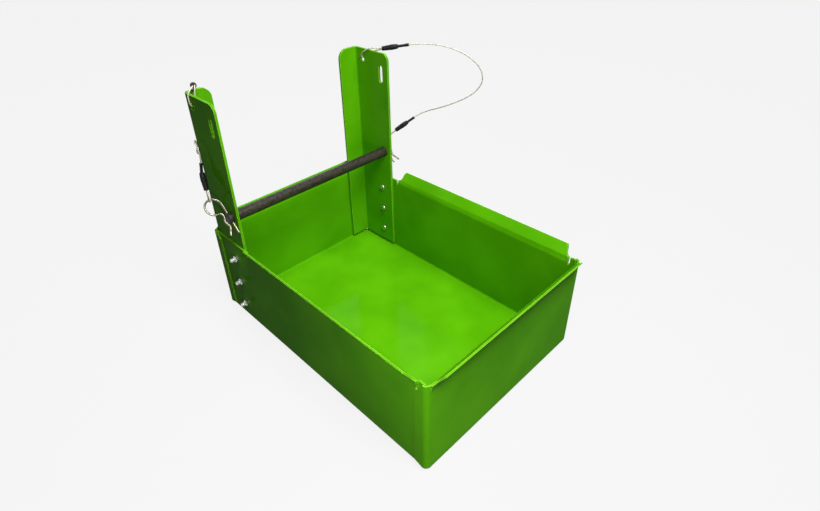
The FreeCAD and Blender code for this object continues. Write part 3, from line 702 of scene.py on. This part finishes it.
tray = tray_with_real_lips(nodes["tray_body"])
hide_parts("tray_body")
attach(tray, "holder")
tray.data.materials.clear()
tray.data.materials.append(GREEN_FINISH)
print("tray:", len(tray.data.vertices), "points")

# %% [markdown]
# Zinc plating is what makes stock screws and clips look cold and bright. It is metal, so all its colour
# is in the reflection, and it is cloudy in patches about four millimetres across. The clips are spring
# wire with the same skin, gone warmer and duller in use.


# %% Zinc plate
def zinc_plate(name, dark, light, low_roughness, high_roughness):
    """Zinc over steel: cloudy patches of two greys, with a little roughness of its own."""
    material, tree, place, surface = new_material(name)
    cloud = add(tree, "ShaderNodeTexNoise", Vector=place, Scale=pattern(3.85), Detail=4.0)
    colour = add(tree, "ShaderNodeValToRGB", {"stops": [
        (0.3, hex_colour(dark)),
        (0.7, hex_colour(light)),
    ]}, Fac=cloud.outputs["Fac"])
    roughness = add(tree, "ShaderNodeValToRGB", {"stops": [
        (0.3, grey(high_roughness)),
        (0.7, grey(low_roughness)),
    ]}, Fac=cloud.outputs["Fac"])
    tree.links.new(colour.outputs["Color"], surface.inputs["Base Color"])
    tree.links.new(roughness.outputs["Color"], surface.inputs["Roughness"])
    surface.inputs["Metallic"].default_value = 1.0
    rounded = add(tree, "ShaderNodeBevel", {"samples": 4}, Radius=0.3 * MM)
    bump = add(tree, "ShaderNodeBump", Height=cloud.outputs["Fac"], Normal=rounded.outputs["Normal"],
               Strength=0.1, Distance=0.05 * MM)
    tree.links.new(bump.outputs["Normal"], surface.inputs["Normal"])
    return material


SCREW_FINISH = zinc_plate("zinc plated screw steel", "#A9AAA4", "#D6D7D0", 0.22, 0.38)
CLIP_FINISH = zinc_plate("zinc plated spring wire", "#5F5B4C", "#8F8A77", 0.24, 0.4)
print("finishes:", SCREW_FINISH.name + ",", CLIP_FINISH.name)


# %% [markdown]
# The lock rod is hot rolled steel. Rolling leaves a dark scale of oxide, and handling wears it through in
# mottled patches, so it looks like grey stone with dull metal showing between. Its colours are set darker
# still, as painted shade for the shadow that the rod lies in. The patches are about three millimetres
# across, and specks of half that size break them up.


# %% Hot rolled steel
SPECK_SHARE = 0.35


def hot_rolled_steel_with_painted_shade():
    """Dark mill scale, worn to dull metal in small patches, its colours darkened further as painted shade.
    """
    material, tree, place, surface = new_material("hot rolled steel")
    patches = add(tree, "ShaderNodeTexNoise", Vector=place, Scale=pattern(3.33), Detail=6.0, Roughness=0.65)
    specks = add(tree, "ShaderNodeTexVoronoi", Vector=place, Scale=pattern(1.43))
    mixed = add(tree, "ShaderNodeMath", {"operation": "MULTIPLY_ADD"},
                _0=specks.outputs["Distance"], _1=SPECK_SHARE, _2=patches.outputs["Fac"])
    # Painted shade: these scale colours are kept darker than bare scale, standing in for the shadow the rod
    # lies in.
    colour = add(tree, "ShaderNodeValToRGB", {"stops": [
        (0.40, hex_colour("#12100C")),
        (0.58, hex_colour("#211E17")),
        (0.74, hex_colour("#36332A")),
    ]}, Fac=mixed.outputs["Value"])
    roughness = add(tree, "ShaderNodeValToRGB", {"stops": [(0.4, grey(0.62)), (0.75, grey(0.42))]},
                    Fac=mixed.outputs["Value"])
    tree.links.new(colour.outputs["Color"], surface.inputs["Base Color"])
    tree.links.new(roughness.outputs["Color"], surface.inputs["Roughness"])
    surface.inputs["Metallic"].default_value = 0.1
    surface.inputs["Specular IOR Level"].default_value = 0.15
    bump = add(tree, "ShaderNodeBump", Height=mixed.outputs["Value"], Strength=0.35, Distance=0.15 * MM)
    tree.links.new(bump.outputs["Normal"], surface.inputs["Normal"])
    return material


ROD_FINISH = hot_rolled_steel_with_painted_shade()
print("finish:", ROD_FINISH.name)


# %% [markdown]
# A stock screw has a rolled thread, a button head and a hex socket, and its end stands out past the nut. A
# solid model leaves the thread out. So each screw is turned here ring by ring, from the bottom of its
# socket to its end, and the thread's ridge climbs one pitch in each turn.

# %% Threaded screws
SCREW_HALF = 2.5
THREAD_PITCH = 0.8
THREAD_DEPTH = 0.42
THREAD_FROM = 7.2
SCREW_LENGTH = 15.0
END_CHAMFER = 0.6
HEAD_HALF, HEAD_HEIGHT, HEAD_ROUND = 4.75, 2.75, 1.9
KEY_HALF, KEY_DEPTH = 1.5, 1.6
SCREW_POINTS = 24
HEAD_STEPS = 6
THREAD_STEPS = 8
THREAD_SHARP = 38
WEB_INNER = 125.0
SCREW_X = -141.0
SCREW_HEIGHTS = (27.5, 64.5, 101.5)


def key_radius(angle):
    """How far a hex socket's side is from the middle in one direction."""
    sixth = math.pi / 3
    return KEY_HALF / math.cos((angle + sixth / 2) % sixth - sixth / 2)


def screw_rings():
    """Rings of one screw from socket to end, as (distance past the head's seat, radius by angle)."""
    angles = [2 * math.pi * index / SCREW_POINTS for index in range(SCREW_POINTS)]
    rings = [(-HEAD_HEIGHT + KEY_DEPTH, [key_radius(angle) for angle in angles])]
    rings.append((-HEAD_HEIGHT, [key_radius(angle) for angle in angles]))
    for step in range(HEAD_STEPS + 1):
        lean = math.pi / 2 * step / HEAD_STEPS
        radius = HEAD_HALF - HEAD_ROUND * (1 - math.sin(lean))
        rings.append((-HEAD_HEIGHT + HEAD_ROUND * (1 - math.cos(lean)), [radius] * SCREW_POINTS))
    rings.append((0.0, [HEAD_HALF] * SCREW_POINTS))
    rings.append((0.0, [SCREW_HALF] * SCREW_POINTS))
    rings.append((THREAD_FROM, [SCREW_HALF] * SCREW_POINTS))
    count = round((SCREW_LENGTH - THREAD_FROM) / THREAD_PITCH * THREAD_STEPS)
    for step in range(1, count + 1):
        distance = THREAD_FROM + (SCREW_LENGTH - THREAD_FROM) * step / count
        end_radius = SCREW_HALF - max(0.0, END_CHAMFER - (SCREW_LENGTH - distance))
        ring = []
        for angle in angles:
            phase = (distance / THREAD_PITCH - angle / (2 * math.pi)) % 1.0
            radius = SCREW_HALF - THREAD_DEPTH * abs(2 * phase - 1)
            ring.append(min(radius, end_radius))
        rings.append((distance, ring))
    return rings


def screw(name, side, height):
    """One screw, turned about its own axis from inside the post to outside the tray."""
    outward = -1 if side == "near" else 1
    rings = []
    for distance, radii in screw_rings():
        ring = []
        for index, radius in enumerate(radii):
            angle = -outward * 2 * math.pi * index / SCREW_POINTS
            place = (
                SCREW_X + radius * math.cos(angle),
                outward * (WEB_INNER + distance),
                height + radius * math.sin(angle),
            )
            ring.append(Vector(place) * MM)
        rings.append(ring)
    piece = rings_to_object(name, rings, SCREW_FINISH)
    piece.data.set_sharp_from_angle(angle=math.radians(THREAD_SHARP))
    return piece


for side in SIDES:
    for number, height in enumerate(SCREW_HEIGHTS, start=1):
        piece = screw("%s_threaded_screw_%d" % (side, number), side, height)
        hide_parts("%s_screw_%d" % (side, number))
        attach(piece, "holder")
print("screws:", len(SIDES) * len(SCREW_HEIGHTS), "of", len(screw_rings()), "rings each")

# %% [markdown]
# The frame's pieces come plain, each with the name of a slot for its finish. One table gives every slot
# its material, so that posts, nuts, rod and clips are all finished here in one pass.

# %% Give the frame's pieces their finishes
FINISHES = {
    "powder_coat": GREEN_FINISH,
    "rod_steel": ROD_FINISH,
    "clip_wire": CLIP_FINISH,
    "zinc_plate": SCREW_FINISH,
    "wire_rope": ROPE_FINISH,
    "sleeve": SLEEVE_FINISH,
}
slot_of = {part["node"]: part["material_slot"] for part in frame["record"]["subparts"]}
for name, node in nodes.items():
    node.data.materials.clear()
    node.data.materials.append(FINISHES[slot_of[name]])
print("finishes given:", len(FINISHES))

# %% [markdown]
# The studio is a pale floor under a pale sky. Both show as a plain light grey to the camera and to anything
# shiny, but give little light of their own: the floor is darker to light that only spreads, so the outside
# walls stay deep. What is left of its own tone is enough to keep the holder's shadow.

# %% Pale floor and sky
BACKDROP = hex_colour("#F5F5F5")
SKY_LIGHT = 0.035
FLOOR_GLOW = 0.86
FLOOR_HALF = 7.0


def shown_rays(tree):
    """One where the camera, a mirror or glass looks, and zero where light only spreads."""
    rays = add(tree, "ShaderNodeLightPath")
    sharp = add(tree, "ShaderNodeMath", {"operation": "MAXIMUM"},
                _0=rays.outputs["Is Camera Ray"], _1=rays.outputs["Is Glossy Ray"])
    clear = add(tree, "ShaderNodeMath", {"operation": "MAXIMUM"},
                _0=sharp.outputs["Value"], _1=rays.outputs["Is Transmission Ray"])
    return clear.outputs["Value"]


def pale_world():
    """A sky that looks pale and lights softly."""
    world = bpy.data.worlds.new("pale sky")
    bpy.context.scene.world = world
    world.use_nodes = True
    tree = world.node_tree
    tree.nodes.clear()
    light = add(tree, "ShaderNodeBackground", Color=hex_colour("#FFFFFF"), Strength=SKY_LIGHT)
    shown = add(tree, "ShaderNodeBackground", Color=BACKDROP, Strength=1.0)
    mix = add(tree, "ShaderNodeMixShader", _0=shown_rays(tree), _1=light.outputs[0], _2=shown.outputs[0])
    add(tree, "ShaderNodeOutputWorld", Surface=mix.outputs[0])


def pale_floor():
    """A wide floor that keeps the object's shadow on a plain pale ground."""
    material, tree, _, surface = new_material("pale studio floor")
    shown = shown_rays(tree)
    tone = add(tree, "ShaderNodeMix", {"data_type": "RGBA"}, _0=shown,
               _6=hex_colour("#404040"), _7=hex_colour("#949494"))
    tree.links.new(tone.outputs[2], surface.inputs["Base Color"])
    surface.inputs["Roughness"].default_value = 0.9
    surface.inputs["Specular IOR Level"].default_value = 0.0
    glow = add(tree, "ShaderNodeEmission", Color=hex_colour("#FFFFFF"), Strength=1.0)
    share = add(tree, "ShaderNodeMath", {"operation": "MULTIPLY"}, _0=shown, _1=FLOOR_GLOW)
    mix = add(tree, "ShaderNodeMixShader", _0=share.outputs["Value"], _1=surface.outputs["BSDF"],
              _2=glow.outputs[0])
    output = next(node for node in tree.nodes if node.type == "OUTPUT_MATERIAL")
    tree.links.new(mix.outputs[0], output.inputs["Surface"])
    mesh = bpy.data.meshes.new("floor")
    corners = [(-1, -1), (1, -1), (1, 1), (-1, 1)]
    mesh.from_pydata([(x * FLOOR_HALF, y * FLOOR_HALF, 0.0) for x, y in corners], [], [(0, 1, 2, 3)])
    mesh.materials.append(material)
    floor = bpy.data.objects.new("floor", mesh)
    bpy.context.scene.collection.objects.link(floor)


pale_world()
pale_floor()
print("floor:", 2 * FLOOR_HALF, "m square")

# %% [markdown]
# A broad even light comes from over the open end. It reaches the whole floor alike, so the floor keeps one
# tone. A soft lamp near it brightens the posts and the far wall. A small one beside the near wall makes
# that wall fade from bright at the open corner to dark at the posts. A large one behind lights the rear.

# %% Soft lamps
KEY_FROM = (0.45, 0.0, 1.0)
KEY_STRENGTH = 2.4
KEY_SPREAD = 25.0


def soft_lamp(name, place, aim, size, watts):
    """A square soft box that points at a place."""
    data = bpy.data.lights.new(name, "AREA")
    data.shape = "SQUARE"
    data.size = size
    data.energy = watts
    lamp = bpy.data.objects.new(name, data)
    lamp.location = place
    lamp.rotation_mode = "QUATERNION"
    lamp.rotation_quaternion = (Vector(aim) - Vector(place)).to_track_quat("-Z", "Y")
    lamp.visible_camera = False
    bpy.context.scene.collection.objects.link(lamp)


def broad_light(name):
    """An even light from far away, spread wide enough for soft shadows."""
    data = bpy.data.lights.new(name, "SUN")
    data.energy = KEY_STRENGTH
    data.angle = math.radians(KEY_SPREAD)
    lamp = bpy.data.objects.new(name, data)
    lamp.rotation_mode = "QUATERNION"
    lamp.rotation_quaternion = (-Vector(KEY_FROM)).to_track_quat("-Z", "Y")
    bpy.context.scene.collection.objects.link(lamp)


SOFT_LAMPS = {
    "lamp beside the near wall": ((0.27, -0.33, 0.21), (0.14, -0.13, 0.1), 0.08, 0.42),
    "lamp over the open end": ((0.34, -0.08, 0.78), (-0.05, 0.05, 0.15), 0.3, 5.5),
    "lamp behind the posts": ((-0.9, 0.5, 0.9), (-0.1, 0.0, 0.1), 0.7, 4.0),
}
broad_light("broad light over the open end")
for name, (place, aim, size, watts) in SOFT_LAMPS.items():
    soft_lamp(name, place, aim, size, watts)
print("lamps:", 1 + len(SOFT_LAMPS))

# %% [markdown]
# Last, the look settings stay plain.

# %% Finish
bpy.context.scene.view_settings.view_transform = "Standard"
